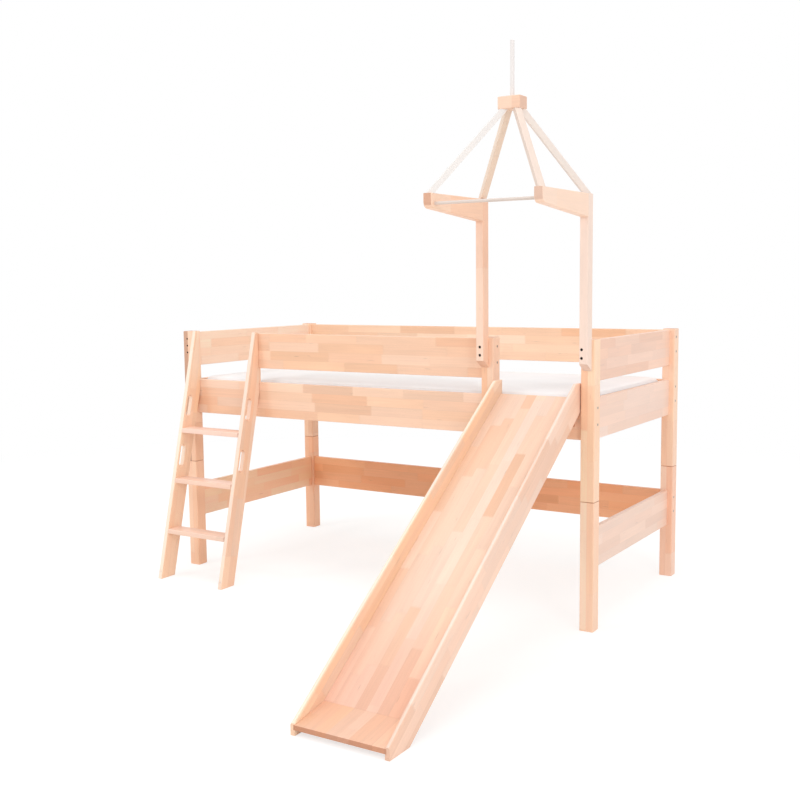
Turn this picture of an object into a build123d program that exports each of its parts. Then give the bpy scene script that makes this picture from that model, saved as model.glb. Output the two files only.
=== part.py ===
from build123d import *
import math
import os

os.makedirs("parts", exist_ok=True)

# Directions
right, left = (1, 0, 0), (-1, 0, 0)
back, front = (0, 1, 0), (0, -1, 0)
up = (0, 0, 1)

# Four-post frame, in millimetres
bed_length = 2095
bed_width = 991
post_side = 57
post_height = 1136
leg_height = 510
post_round = 4.5
post_top_round = 3
seam_chamfer = 2
board_thickness = 22
board_height = 160
board_recess = 23
board_round = 3
guard_drop = 5
rail_drop = 225
lower_drop = 112

# Joints between boards and posts
bolt_drop_upper = 32
bolt_drop_lower = 97
bolt_radius = 3
bolt_head_radius = 5
bolt_head_length = 4
bolt_socket_radius = 2.5
bolt_socket_depth = 2.5
bolt_reach = 42
bolt_clearance = 0.3
nut_radius = 5
nut_length = 15
nut_setback = 34
dowel_radius = 5
dowel_length = 50
dowel_drop_upper = 50
dowel_drop_lower = 115
dowel_clearance = 0.1
leg_pin_radius = 8
leg_pin_length = 100

# Row of accessory holes near the top of a front post
accessory_radius = 4
accessory_depth = 27
accessory_first_drop = 36.5
accessory_pitch = 32.5
accessory_count = 3
accessory_inset = 24.5

# Opening for the slide in the front guard
slide_width = 357
slide_post_gap = 3.5
slide_post_clearance = 12
slide_post_width = 55
lap_bolt_drop_upper = 45
lap_bolt_drop_lower = 115
lap_bolt_length = 38

# Strut that carries the guard beside the ladder
strut_width = 36
strut_overlap = 8
strut_dowel_shares = (0.2, 0.55)

# Slatted base
ledge_width = 22
ledge_height = 30
ledge_end_gap = 2.5
ledge_round = 0.8
slat_drop = 119
slat_count = 14
slat_width = 68
slat_thickness = 18
slat_end_gap = 3
slat_border = 30

# Mattress
mattress_thickness = 125
mattress_end_gap = 7.5
mattress_side_gap = 0.5
mattress_gap = 0.3
mattress_crown = 10
mattress_drawn_in = 3
mattress_corner = 30
mattress_top_edge = 20
mattress_low_edge = 18

# Ladder
ladder_width = 386
ladder_side_gap = 0.5
ladder_back_gap = 0.5
ladder_reach = 303
ladder_above_post = 1
ladder_top_depth = 21.5
stringer_depth = 90
stringer_thickness = 22
stringer_round = 4
tread_first = 226
tread_pitch = 230
tread_count = 3
tread_depth = 78
tread_thickness = 22
tread_overhang = 4
tread_round = 4
grip_length = 100
grip_width = 29
grip_edge_distance = 27
grip_rise = 101.5
grip_round = 2.5
stud_radius = 5
stud_drop = 17
stud_reach = 13
stud_depth = 18
stud_clearance = 0.3
tread_dowel_radius = 4
tread_dowel_length = 50
tread_dowel_sink = 12
tread_dowel_inset = 18

# Slide
slide_reach = 1381.5
slide_back_gap = 1.5
slide_toe_height = 39
slide_rise = 61
slide_foot_length = 109
slide_rear_depth = 99
slide_side_thickness = 16
slide_side_round = 7
chute_drop = 84.2
chute_rise = 6.4
chute_thickness = 16
chute_back_gap = 13.5
chute_housing = 5
housing_gap = 0.2
runout_length = 150
runout_toe_top = 35
runout_thickness = 17
runout_round = 3
seam_gap = 0.3
batten_width = 45
batten_thickness = 18
batten_shares = (0.18, 0.5, 0.82)
cleat_thickness = 18
cleat_height = 34
cleat_drop = 108
cleat_gap = 0.3
cleat_side_gap = 14
cleat_screw_count = 3
cleat_screw_radius = 2.5
cleat_screw_head_radius = 4.5
cleat_screw_head_length = 3
cleat_screw_length = 36

# Roof frame over the slide
upright_width = 34
upright_depth = 46
upright_lap = 120
upright_rise = 541
upright_toe_height = 29
upright_round = 4
upright_left_inset = 18
upright_right_inset = 28.5
right_bolt_shift = 7
arm_tip_reach = 938
arm_root_height = 86
arm_tip_height = 53
arm_nose = 24
arm_round = 3
crossbar_radius = 6
crossbar_setback = 28
crossbar_drop = 36
crossbar_sink = 15
crossbar_clearance = 0.2
turret_bolt_radius = 4
turret_bolt_head_radius = 5.5
turret_bolt_head_length = 7
turret_bolt_recess = 3
turret_socket_radius = 2.6
turret_socket_depth = 4
turret_bolt_reach = 18
insert_radius = 6
insert_length = 20
arm_dowel_drops = (22, 62)
rafter_width = 24
rafter_depth = 22
rafter_front_setback = 18
rafter_rear_setback = 21
apex_length = 90
apex_depth = 62
apex_height = 46
apex_rise = 350
apex_back_reach = 160.5
apex_round = 3
rafter_head_x = 28
rafter_head_y = 19
rafter_pin_radius = 3
rafter_pin_length = 34
pin_clearance = 0.1
pole_radius = 8
pole_length = 202
pole_sink = 30
pole_clearance = 0.1
pole_round = 4

# Extra length of a cutting tool past a face, and the closeness that finds a face
overrun = 5
closeness = 0.3

# Places that follow from the driving sizes
half_length = bed_length / 2
half_width = bed_width / 2
guard_top = post_height - guard_drop
rail_top = guard_top - rail_drop
lower_top = leg_height - lower_drop
post_inner_x = half_length - post_side
post_inner_y = half_width - post_side
board_outer_y = half_width - board_recess
board_inner_y = board_outer_y - board_thickness
board_mid_y = board_outer_y - board_thickness / 2
board_outer_x = half_length - board_recess
board_inner_x = board_outer_x - board_thickness
board_mid_x = board_outer_x - board_thickness / 2
rail_front = -board_outer_y
slat_low = rail_top - slat_drop
slat_high = slat_low + slat_thickness
mattress_top = slat_high + mattress_thickness
mattress_half_x = board_inner_x - mattress_end_gap
mattress_half_y = post_inner_y - mattress_side_gap
ladder_height = post_height + ladder_above_post
stud_height = rail_top - stud_drop
ladder_lean = (ladder_reach - ladder_top_depth) / ladder_height
slide_x1 = post_inner_x - slide_post_gap
slide_x0 = slide_x1 - slide_width
slide_post_x1 = slide_x0 - slide_post_clearance
slide_post_x0 = slide_post_x1 - slide_post_width
slide_post_low = rail_top - board_height
ladder_x0 = -post_inner_x + ladder_side_gap
ladder_x1 = ladder_x0 + ladder_width
strut_x1 = ladder_x1 - strut_overlap
strut_x0 = strut_x1 - strut_width
slide_toe_y = rail_front - slide_reach
slide_rear_y = rail_front - slide_back_gap
slide_top = rail_top + slide_rise
slide_run = slide_reach - chute_back_gap
slide_slope = (rail_top + chute_rise + chute_drop - slide_toe_height) / slide_run
slide_angle = math.atan(slide_slope)
cleat_low = rail_top - cleat_drop
upright_back_y = -half_width
upright_front_y = upright_back_y - upright_depth
upright_low = post_height - upright_lap
upright_top = post_height + upright_rise
upright_left_x = slide_post_x0 + upright_left_inset
upright_right_x = post_inner_x + upright_right_inset
bolt_left_x, bolt_right_x = upright_left_x, upright_right_x - right_bolt_shift
arm_tip_y = -arm_tip_reach
apex_x = (bolt_left_x + bolt_right_x) / 2
apex_y1 = upright_back_y - apex_back_reach
apex_y0 = apex_y1 - apex_depth
apex_y = (apex_y0 + apex_y1) / 2
apex_top = upright_top + apex_rise
apex_low = apex_top - apex_height
pole_top = apex_top + pole_length

# The origin is on the floor under the middle of the whole object
origin_shift = Pos(0, -(slide_toe_y + half_width) / 2, 0)


def block(x0, x1, y0, y1, z0, z1):
    """Box between two corners."""
    centre = Pos((x0 + x1) / 2, (y0 + y1) / 2, (z0 + z1) / 2)
    return centre * Box(x1 - x0, y1 - y0, z1 - z0)


def rounded(solid, axis, radius):
    """Rounds the straight edges that run along an axis."""
    return fillet(solid.edges().filter_by(axis), radius)


def rod(start, direction, length, radius):
    """Cylinder from a start point along a direction."""
    foot = (Align.CENTER, Align.CENTER, Align.MIN)
    return Plane(origin=start, z_dir=direction) * Cylinder(radius, length, align=foot)


def moved(start, direction, distance):
    """Point at a distance from another along a unit direction."""
    return tuple(s + d * distance for s, d in zip(start, direction))


def side_profile(points, x0, x1):
    """Solid with its outline in the YZ plane, from x0 to x1."""
    outline = make_face(Polyline(points, close=True))
    return extrude(Plane.YZ.offset(x0) * outline, x1 - x0)


def boxes_meet(a, b):
    """True where two bounding boxes share some space."""
    return (
        a.min.X < b.max.X and b.min.X < a.max.X
        and a.min.Y < b.max.Y and b.min.Y < a.max.Y
        and a.min.Z < b.max.Z and b.min.Z < a.max.Z
    )


def cut_by(solid, tools):
    """Takes from a solid the tools that reach it."""
    reach = solid.bounding_box(optimal=False)
    for tool in tools:
        if boxes_meet(reach, tool.bounding_box(optimal=False)):
            solid = solid - tool
    return solid


def edges_in_plane(solid):
    """Edges that lie across the X axis."""
    return [edge for edge in solid.edges() if abs(edge.tangent_at(0).X) < closeness]


def save(name, *solids):
    """Writes one node, a single solid or a group of like pieces."""
    placed = [origin_shift * solid for solid in solids]
    shape = placed[0] if len(placed) == 1 else Compound(children=placed)
    export_step(shape, f"parts/{name}.step")


def socket_bolt(start, direction, length, radius, head_radius, head_length, socket_radius, socket_depth):
    """Cylinder-head bolt whose head's outer face is at the start point."""
    head = rod(start, direction, head_length, head_radius)
    shank = rod(moved(start, direction, head_length), direction, length - head_length, radius)
    socket = rod(start, direction, socket_depth, socket_radius)
    return head + shank - socket


def screw(start, direction, length, radius, head_radius, head_length):
    """Flush screw: a tapered head and a plain shank."""
    head = Plane(origin=start, z_dir=direction) * Cone(
        head_radius, radius, head_length, align=(Align.CENTER, Align.CENTER, Align.MIN)
    )
    return head + rod(start, direction, length, radius)


# Bolts through the posts into the ends of the long boards


def bolt_places():
    """Start point, direction and post thickness of every bed bolt."""
    places = []
    for drop in (bolt_drop_upper, bolt_drop_lower):
        for top in (guard_top, rail_top, lower_top):
            places.append(((-half_length, board_mid_y, top - drop), right, post_side))
            places.append(((half_length, board_mid_y, top - drop), left, post_side))
        places.append(((-half_length, -board_mid_y, rail_top - drop), right, post_side))
        places.append(((half_length, -board_mid_y, rail_top - drop), left, post_side))
        places.append(((slide_post_x1, -board_mid_y, guard_top - drop), left, slide_post_width))
    return places


def nut_start(start, direction, grip):
    """Centre of a barrel nut's face, level with the back face of its board."""
    centre = moved(start, direction, grip + nut_setback)
    return moved(centre, back, board_thickness / 2)


def make_bed_bolts():
    return [
        socket_bolt(start, direction, grip + bolt_reach, bolt_radius, bolt_head_radius,
                    bolt_head_length, bolt_socket_radius, bolt_socket_depth)
        for start, direction, grip in bolt_places()
    ]


def make_barrel_nuts():
    nuts = []
    for start, direction, grip in bolt_places():
        nut = rod(nut_start(start, direction, grip), front, nut_length, nut_radius)
        thread = rod(start, direction, grip + bolt_reach + overrun, bolt_radius + bolt_clearance)
        nuts.append(nut - thread)
    return nuts


def bolt_holes():
    """Counterbore, shank hole and nut hole of every bed bolt."""
    tools = []
    for start, direction, grip in bolt_places():
        outside = moved(start, direction, -overrun)
        head_hole = bolt_head_length + overrun
        tools.append(rod(outside, direction, head_hole, bolt_head_radius + bolt_clearance))
        depth = grip + bolt_reach + bolt_clearance
        tools.append(rod(start, direction, depth, bolt_radius + bolt_clearance))
        mouth = moved(nut_start(start, direction, grip), back, bolt_clearance)
        tools.append(rod(mouth, front, nut_length + 2 * bolt_clearance, nut_radius + bolt_clearance))
    return tools


# Dowels in the ends of the short boards, the guard strut and the roof arms


def dowel_places():
    """Middle point and direction of every dowel."""
    places = []
    for drop in (dowel_drop_upper, dowel_drop_lower):
        for top in (guard_top, rail_top, lower_top):
            for x in (-board_mid_x, board_mid_x):
                for y in (-post_inner_y, post_inner_y):
                    places.append(((x, y, top - drop), back))
        places.append(((strut_x1, -board_mid_y, guard_top - drop), right))
    for share in strut_dowel_shares:
        places.append(((strut_x0 + share * strut_width, -board_mid_y, rail_top), up))
    for x in (upright_left_x, upright_right_x):
        for drop in arm_dowel_drops:
            places.append(((x, upright_front_y, upright_top - drop), back))
    return places


def make_dowels(length, radius):
    return [
        rod(moved(middle, direction, -length / 2), direction, length, radius)
        for middle, direction in dowel_places()
    ]


# Legs and posts


def corner_block(x_side, y_side, z0, z1):
    """Square post at one corner of the bed."""
    x0, x1 = sorted((x_side * post_inner_x, x_side * half_length))
    y0, y1 = sorted((y_side * post_inner_y, y_side * half_width))
    return rounded(block(x0, x1, y0, y1, z0, z1), Axis.Z, post_round)


def leg_pin(x_side, y_side, clearance):
    x = x_side * (half_length - post_side / 2)
    y = y_side * (half_width - post_side / 2)
    low = leg_height - leg_pin_length / 2 - clearance
    return rod((x, y, low), up, leg_pin_length + 2 * clearance, leg_pin_radius + clearance)


def accessory_holes(x):
    """Row of blind holes in the front face of a front post."""
    heights = [post_height - accessory_first_drop - i * accessory_pitch for i in range(accessory_count)]
    mouth = -half_width - overrun
    return [rod((x, mouth, z), back, accessory_depth + overrun, accessory_radius) for z in heights]


def insert_places():
    """Mouth of every threaded insert behind the roof uprights."""
    heights = [post_height - accessory_first_drop - i * accessory_pitch for i in range(accessory_count - 1)]
    return [(x, -half_width, z) for x in (bolt_left_x, bolt_right_x) for z in heights]


def insert_holes():
    radius = insert_radius + dowel_clearance
    return [rod(moved(place, front, overrun), back, insert_length + overrun, radius) for place in insert_places()]


def make_leg(x_side, y_side):
    leg = corner_block(x_side, y_side, 0, leg_height)
    leg = chamfer(leg.faces().sort_by(Axis.Z)[-1].edges(), seam_chamfer)
    leg = leg - leg_pin(x_side, y_side, dowel_clearance)
    return cut_by(leg, bolt_tools + dowel_tools)


def make_post(x_side, y_side):
    post = corner_block(x_side, y_side, leg_height, post_height)
    post = fillet(post.faces().sort_by(Axis.Z)[-1].edges(), post_top_round)
    post = chamfer(post.faces().sort_by(Axis.Z)[0].edges(), seam_chamfer)
    post = post - leg_pin(x_side, y_side, dowel_clearance)
    post = cut_by(post, bolt_tools + dowel_tools)
    if y_side > 0:
        return post
    if x_side < 0:
        return cut_by(post, accessory_holes(-half_length + accessory_inset))
    return cut_by(post, accessory_holes(bolt_right_x) + insert_holes())


# Boards


def make_long_board(y_side, top, x0, x1):
    y0, y1 = sorted((y_side * board_inner_y, y_side * board_outer_y))
    board = rounded(block(x0, x1, y0, y1, top - board_height, top), Axis.X, board_round)
    return cut_by(board, bolt_tools + dowel_tools)


def make_end_board(x_side, top):
    x0, x1 = sorted((x_side * board_inner_x, x_side * board_outer_x))
    board = block(x0, x1, -post_inner_y, post_inner_y, top - board_height, top)
    return cut_by(rounded(board, Axis.Y, board_round), dowel_tools)


def make_guard_strut():
    strut = block(strut_x0, strut_x1, -board_outer_y, -board_inner_y, rail_top, guard_top)
    return cut_by(rounded(strut, Axis.Z, board_round), dowel_tools)


def lap_bolt_heights():
    return (rail_top - lap_bolt_drop_upper, rail_top - lap_bolt_drop_lower)


def lap_bolt_parts(clearance):
    """Screws through the lap of the slide post into the bed rail."""
    x = (slide_post_x0 + slide_post_x1) / 2
    length = lap_bolt_length + clearance
    return [
        screw((x, -half_width, z), back, length, cleat_screw_radius + clearance,
              cleat_screw_head_radius + clearance, cleat_screw_head_length)
        for z in lap_bolt_heights()
    ]


def make_slide_post():
    post = block(slide_post_x0, slide_post_x1, -half_width, -post_inner_y, slide_post_low, post_height)
    post = rounded(post, Axis.Z, post_round)
    post = fillet(post.faces().sort_by(Axis.Z)[-1].edges(), post_top_round)
    lap = block(slide_post_x0 - overrun, slide_post_x1 + overrun, rail_front, -post_inner_y + overrun,
                slide_post_low - overrun, rail_top)
    tools = bolt_tools + accessory_holes(bolt_left_x) + insert_holes() + lap_bolt_parts(dowel_clearance)
    return cut_by(post - lap, tools)


def make_ledge(y_side):
    y0, y1 = sorted((y_side * board_inner_y, y_side * (board_inner_y - ledge_width)))
    end = post_inner_x - ledge_end_gap
    ledge = block(-end, end, y0, y1, slat_low - ledge_height, slat_low)
    return rounded(ledge, Axis.X, ledge_round)


def make_slats():
    """Row of slats across the two ledges."""
    reach = board_inner_y - slat_end_gap
    first = -post_inner_x + slat_border + slat_width / 2
    step = -2 * first / (slat_count - 1)
    slats = []
    for i in range(slat_count):
        x = first + i * step
        slat = block(x - slat_width / 2, x + slat_width / 2, -reach, reach, slat_low, slat_high)
        slats.append(rounded(slat, Axis.Y, board_round))
    return slats


# Mattress


def make_mattress():
    """Padded block with a crowned top and slightly drawn-in sides."""
    x, y = mattress_half_x, mattress_half_y
    corners = [(-x, -y), (x, -y), (x, y), (-x, y)]
    middles = [(0, -y + mattress_drawn_in), (x - mattress_drawn_in, 0),
               (0, y - mattress_drawn_in), (-x + mattress_drawn_in, 0)]
    sides = [
        ThreePointArc(corners[i], middles[i], corners[(i + 1) % len(corners)])
        for i in range(len(corners))
    ]
    plan = make_face(Wire(sides))
    plan = fillet(plan.vertices(), mattress_corner)
    body = extrude(Pos(0, 0, slat_high + mattress_gap) * plan, mattress_top - slat_high - mattress_gap)
    crown_radius = x * x / (2 * mattress_crown)
    body = body & (Pos(0, 0, mattress_top - crown_radius) * Sphere(crown_radius))
    body = fillet(body.faces().sort_by(Axis.Z)[-1].edges(), mattress_top_edge)
    return fillet(body.faces().sort_by(Axis.Z)[0].edges(), mattress_low_edge)


# Ladder


def stringer_front(z):
    """Y of the front edge of a stringer at a height."""
    return rail_front - ladder_reach + ladder_lean * z


def stud_tool(x, clearance):
    """Groove that lets a stringer drop over its stud."""
    radius = stud_radius + clearance
    reach = stud_reach + clearance
    bar = rod((x, rail_front, stud_height), front, reach, radius)
    slot = block(x - radius, x + radius, rail_front - reach, rail_front + overrun,
                 stud_height - ladder_height, stud_height)
    return bar + slot


def make_ladder_studs():
    studs = []
    for x in (ladder_x0 + stringer_thickness / 2, ladder_x1 - stringer_thickness / 2):
        start = (x, rail_front + stud_depth, stud_height)
        studs.append(rod(start, front, stud_depth + stud_reach, stud_radius))
    return studs


def grip_centres():
    """Middle of every hand slot in a stringer, as Y and Z."""
    heights = [tread_first + (i + 1) * tread_pitch + grip_rise for i in range(tread_count - 1)]
    return [(stringer_front(z) + grip_edge_distance, z) for z in heights]


def grip_slot(x0, x1, y, z):
    turn = math.degrees(math.atan2(1, ladder_lean))
    slot = Pos(y, z) * Rot(0, 0, turn) * SlotOverall(grip_length, grip_width)
    return extrude(Plane.YZ.offset(x0 - overrun) * slot, x1 - x0 + 2 * overrun)


def make_stringer(x0):
    x1 = x0 + stringer_thickness
    back_y = rail_front - ladder_back_gap
    bend = (back_y - stringer_front(0) - stringer_depth) / ladder_lean
    outline = [
        (stringer_front(0), 0),
        (stringer_front(0) + stringer_depth, 0),
        (back_y, bend),
        (back_y, ladder_height),
        (stringer_front(ladder_height), ladder_height),
    ]
    stringer = side_profile(outline, x0, x1)
    rim = [edge for edge in edges_in_plane(stringer) if edge.center().Z > overrun]
    stringer = fillet(rim, stringer_round)
    for y, z in grip_centres():
        stringer = stringer - grip_slot(x0, x1, y, z)
        mouth = [
            edge for edge in edges_in_plane(stringer)
            if abs(edge.center().Z - z) < grip_length / 2 + overrun
            and abs(edge.center().Y - y) < grip_width / 2 + overrun
            and edge.length < grip_length
            and min(abs(edge.center().X - x0), abs(edge.center().X - x1)) < closeness
        ]
        stringer = fillet(mouth, grip_round)
    stringer = stringer - stud_tool((x0 + x1) / 2, stud_clearance)
    return cut_by(stringer, tread_dowel_parts(dowel_clearance))


def tread_tops():
    return [tread_first + i * tread_pitch for i in range(tread_count)]


def tread_front(top):
    """Y of the front of a tread, a little ahead of the stringers at its top."""
    return stringer_front(top) - tread_overhang


def make_tread(top):
    y0 = tread_front(top)
    inner_x0, inner_x1 = ladder_x0 + stringer_thickness, ladder_x1 - stringer_thickness
    tread = block(inner_x0, inner_x1, y0, y0 + tread_depth, top - tread_thickness, top)
    return cut_by(rounded(tread, Axis.X, tread_round), tread_dowel_parts(dowel_clearance))


def tread_dowel_parts(clearance):
    """Two hidden dowels from each stringer into the end of each tread."""
    left_x = ladder_x0 + stringer_thickness - tread_dowel_sink - clearance
    right_x = ladder_x1 - stringer_thickness + tread_dowel_sink + clearance
    length = tread_dowel_length + 2 * clearance
    dowels = []
    for top in tread_tops():
        z = top - tread_thickness / 2
        y0 = tread_front(top)
        for y in (y0 + tread_dowel_inset, y0 + tread_depth - tread_dowel_inset):
            dowels.append(rod((left_x, y, z), right, length, tread_dowel_radius + clearance))
            dowels.append(rod((right_x, y, z), left, length, tread_dowel_radius + clearance))
    return dowels


# Slide


def slide_edge(y):
    """Height of the top edge of the slide's sides."""
    return slide_toe_height + slide_slope * (y - slide_toe_y)


def chute_top(y):
    return slide_edge(y) - chute_drop


def chute_low(y):
    return chute_top(y) - chute_thickness / math.cos(slide_angle)


def make_chute(x0, x1, clearance):
    """Sliding panel, or its housing where there is a clearance."""
    y0 = slide_toe_y + runout_length + seam_gap
    y1 = rail_front - chute_back_gap + clearance
    outline = [
        (y0, chute_low(y0) - clearance),
        (y1, chute_low(y1) - clearance),
        (y1, chute_top(y1) + clearance),
        (y0, chute_top(y0) + clearance),
    ]
    return side_profile(outline, x0, x1)


def runout_top(y):
    rise = chute_top(slide_toe_y + runout_length) - runout_toe_top
    return runout_toe_top + rise * (y - slide_toe_y) / runout_length


def make_runout(x0, x1, clearance):
    """Gentler panel at the toe, or its housing where there is a clearance."""
    y0 = slide_toe_y - clearance
    y1 = slide_toe_y + runout_length + clearance
    outline = [
        (y0, runout_top(y0) - runout_thickness - clearance),
        (y1, runout_top(y1) - runout_thickness - clearance),
        (y1, runout_top(y1) + clearance),
        (y0, runout_top(y0) + clearance),
    ]
    return side_profile(outline, x0, x1)


def make_slide_side(x0, housing_x0, housing_x1):
    """Side board of the slide, housed for the two panels."""
    x1 = x0 + slide_side_thickness
    flat_y = slide_toe_y + (slide_top - slide_toe_height) / slide_slope
    outline = [
        (slide_toe_y, 0),
        (slide_toe_y + slide_foot_length, 0),
        (slide_rear_y, slide_top - slide_rear_depth),
        (slide_rear_y, slide_top),
        (flat_y, slide_top),
        (slide_toe_y, slide_toe_height),
    ]
    side = side_profile(outline, x0, x1)
    top_edges = [
        edge for edge in edges_in_plane(side)
        if edge.center().Z > slide_edge(edge.center().Y) - overrun
        and edge.center().Y < slide_rear_y - overrun and edge.center().Z > slide_toe_height
    ]
    side = fillet(top_edges, slide_side_round)
    side = side - make_chute(housing_x0, housing_x1, housing_gap)
    return side - make_runout(housing_x0, housing_x1, housing_gap)


def make_slide_sides():
    inner_x0, inner_x1 = slide_x0 + slide_side_thickness, slide_x1 - slide_side_thickness
    left_side = make_slide_side(slide_x0, inner_x0 - chute_housing, inner_x0 + overrun)
    right_side = make_slide_side(inner_x1, inner_x1 - overrun, inner_x1 + chute_housing)
    return left_side, right_side


def make_panels():
    """Chute and run-out, housed in both sides."""
    reach = chute_housing - housing_gap
    x0 = slide_x0 + slide_side_thickness - reach
    x1 = slide_x1 - slide_side_thickness + reach
    runout = make_runout(x0, x1, 0)
    toe_edge = [
        edge for edge in runout.edges().filter_by(Axis.X)
        if edge.center().Y < slide_toe_y + overrun and edge.center().Z > runout_toe_top - overrun
    ]
    return make_chute(x0, x1, 0), fillet(toe_edge, runout_round)


def make_battens():
    """Cross battens under the chute."""
    x0, x1 = slide_x0 + slide_side_thickness, slide_x1 - slide_side_thickness
    y0 = slide_toe_y + runout_length
    y1 = rail_front - chute_back_gap
    battens = []
    for share in batten_shares:
        y = y0 + share * (y1 - y0)
        normal = (0, -math.sin(slide_angle), math.cos(slide_angle))
        seat = Plane(origin=((x0 + x1) / 2, y, chute_low(y)), x_dir=right, z_dir=normal)
        top = (Align.CENTER, Align.CENTER, Align.MAX)
        battens.append(seat * Box(x1 - x0, batten_width, batten_thickness, align=top))
    return battens


def cleat_span():
    """X range of the hook bar between the slide's sides."""
    return slide_x0 + slide_side_thickness, slide_x1 - slide_side_thickness


def make_rail_cleat():
    """Bevelled bar on the bed rail that the slide hooks over."""
    x0, x1 = cleat_span()
    y1, y0 = rail_front, rail_front - cleat_thickness
    top = cleat_low + cleat_height
    outline = [(y0, cleat_low), (y1, cleat_low), (y1, top), (y0, top + cleat_thickness)]
    cleat = side_profile(outline, x0 + cleat_side_gap, x1 - cleat_side_gap)
    return cut_by(cleat, cleat_screw_parts(dowel_clearance))


def make_chute_cleat():
    """Mating bar under the top of the chute."""
    x0, x1 = cleat_span()
    y1, y0 = slide_rear_y, rail_front - cleat_thickness
    top = cleat_low + cleat_height + cleat_gap
    chute_end = rail_front - chute_back_gap
    outline = [
        (y1, top + (rail_front - y1)),
        (y1, chute_low(chute_end)),
        (chute_end, chute_low(chute_end)),
        (y0, chute_low(y0)),
        (y0, top + cleat_thickness),
    ]
    return side_profile(outline, x0, x1)


def cleat_screw_parts(clearance):
    x0, x1 = cleat_span()
    step = (x1 - x0) / cleat_screw_count
    first = x0 + step / 2
    z = cleat_low + cleat_height / 2
    return [
        screw((first + i * step, rail_front - cleat_thickness, z), back,
              cleat_screw_length + clearance, cleat_screw_radius + clearance,
              cleat_screw_head_radius + clearance, cleat_screw_head_length)
        for i in range(cleat_screw_count)
    ]


# Roof frame over the slide


def rafter_ends():
    """Foot and head of each rafter, by name."""
    ends = {}
    for x_name, x, x_side in (("left", upright_left_x, -1), ("right", upright_right_x, 1)):
        head_x = apex_x + x_side * rafter_head_x
        front_foot = (x, arm_tip_y + rafter_front_setback, upright_top)
        rear_foot = (x, upright_back_y - rafter_rear_setback, upright_top)
        ends[f"front_{x_name}"] = (front_foot, (head_x, apex_y - rafter_head_y, apex_low))
        ends[f"rear_{x_name}"] = (rear_foot, (head_x, apex_y + rafter_head_y, apex_low))
    return ends


def rafter_direction(foot, head):
    return (Vector(*head) - Vector(*foot)).normalized()


def make_rafter(foot, head):
    """Square bar from an arm to the apex block, cut level at both ends."""
    direction = rafter_direction(foot, head)
    across = direction.cross(Vector(*up)).normalized()
    length = (Vector(*head) - Vector(*foot)).length + 2 * rafter_width
    middle = (Vector(*head) + Vector(*foot)) * 0.5
    bar = Plane(origin=middle, x_dir=across, z_dir=direction) * Box(rafter_width, rafter_depth, length)
    slab = block(upright_left_x - post_side, upright_right_x + post_side,
                 arm_tip_y - post_side, upright_back_y + post_side, upright_top, apex_low)
    return cut_by(bar & slab, rafter_pin_parts(pin_clearance))


def rafter_pin_parts(clearance):
    """Steel pins in both ends of every rafter, along the rafter."""
    pins = []
    for foot, head in rafter_ends().values():
        direction = tuple(rafter_direction(foot, head))
        for middle in (foot, head):
            start = moved(middle, direction, -rafter_pin_length / 2 - clearance)
            pins.append(rod(start, direction, rafter_pin_length + 2 * clearance, rafter_pin_radius + clearance))
    return pins


def turret_bolt_start(place):
    """Outer face of a roof bolt's head, sunk in the upright."""
    return (place[0], upright_front_y + turret_bolt_recess, place[2])


def make_turret_bolts():
    length = upright_depth - turret_bolt_recess + turret_bolt_reach
    return [
        socket_bolt(turret_bolt_start(place), back, length, turret_bolt_radius, turret_bolt_head_radius,
                    turret_bolt_head_length, turret_socket_radius, turret_socket_depth)
        for place in insert_places()
    ]


def turret_bolt_holes():
    tools = []
    for place in insert_places():
        mouth = moved(turret_bolt_start(place), front, turret_bolt_recess + overrun)
        depth = turret_bolt_recess + overrun + turret_bolt_head_length
        tools.append(rod(mouth, back, depth, turret_bolt_head_radius + bolt_clearance))
        tools.append(rod(mouth, back, upright_depth + 2 * overrun, turret_bolt_radius + bolt_clearance))
    return tools


def make_turret_inserts():
    """Threaded sleeves in the posts."""
    sleeves = []
    for place in insert_places():
        sleeve = rod(place, back, insert_length, insert_radius)
        bore = rod(moved(place, front, overrun), back, insert_length + 2 * overrun,
                   turret_bolt_radius + bolt_clearance)
        sleeves.append(sleeve - bore)
    return sleeves


def make_upright(x):
    """Upright with a sloped toe, bolted to the front of a post."""
    outline = [
        (upright_back_y, upright_low),
        (upright_back_y, upright_top),
        (upright_front_y, upright_top),
        (upright_front_y, upright_low + upright_toe_height),
    ]
    upright = side_profile(outline, x - upright_width / 2, x + upright_width / 2)
    long_edges = [edge for edge in upright.edges().filter_by(Axis.Z) if edge.length > upright_low / 2]
    upright = fillet(long_edges, upright_round)
    return cut_by(upright, turret_bolt_holes() + dowel_tools + rafter_pin_parts(pin_clearance))


def crossbar_rod(clearance):
    """Thin rod between the tips of the arms."""
    x0 = upright_left_x + upright_width / 2 - crossbar_sink - clearance
    x1 = upright_right_x - upright_width / 2 + crossbar_sink + clearance
    start = (x0, arm_tip_y + crossbar_setback, upright_top - crossbar_drop)
    return rod(start, right, x1 - x0, crossbar_radius + clearance)


def make_arm(x):
    """Tapered arm that reaches forward from the top of an upright."""
    outline = [
        (upright_front_y, upright_top - arm_root_height),
        (upright_front_y, upright_top),
        (arm_tip_y, upright_top),
        (arm_tip_y, upright_top - arm_tip_height),
    ]
    arm = side_profile(outline, x - upright_width / 2, x + upright_width / 2)
    nose = [
        edge for edge in arm.edges().filter_by(Axis.X)
        if edge.center().Y < arm_tip_y + overrun and edge.center().Z < upright_top - overrun
    ]
    arm = fillet(nose, arm_nose)
    rim = [edge for edge in edges_in_plane(arm) if edge.center().Y < upright_front_y - overrun]
    arm = fillet(rim, arm_round)
    tools = dowel_tools + rafter_pin_parts(pin_clearance) + [crossbar_rod(crossbar_clearance)]
    return cut_by(arm, tools)


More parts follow.
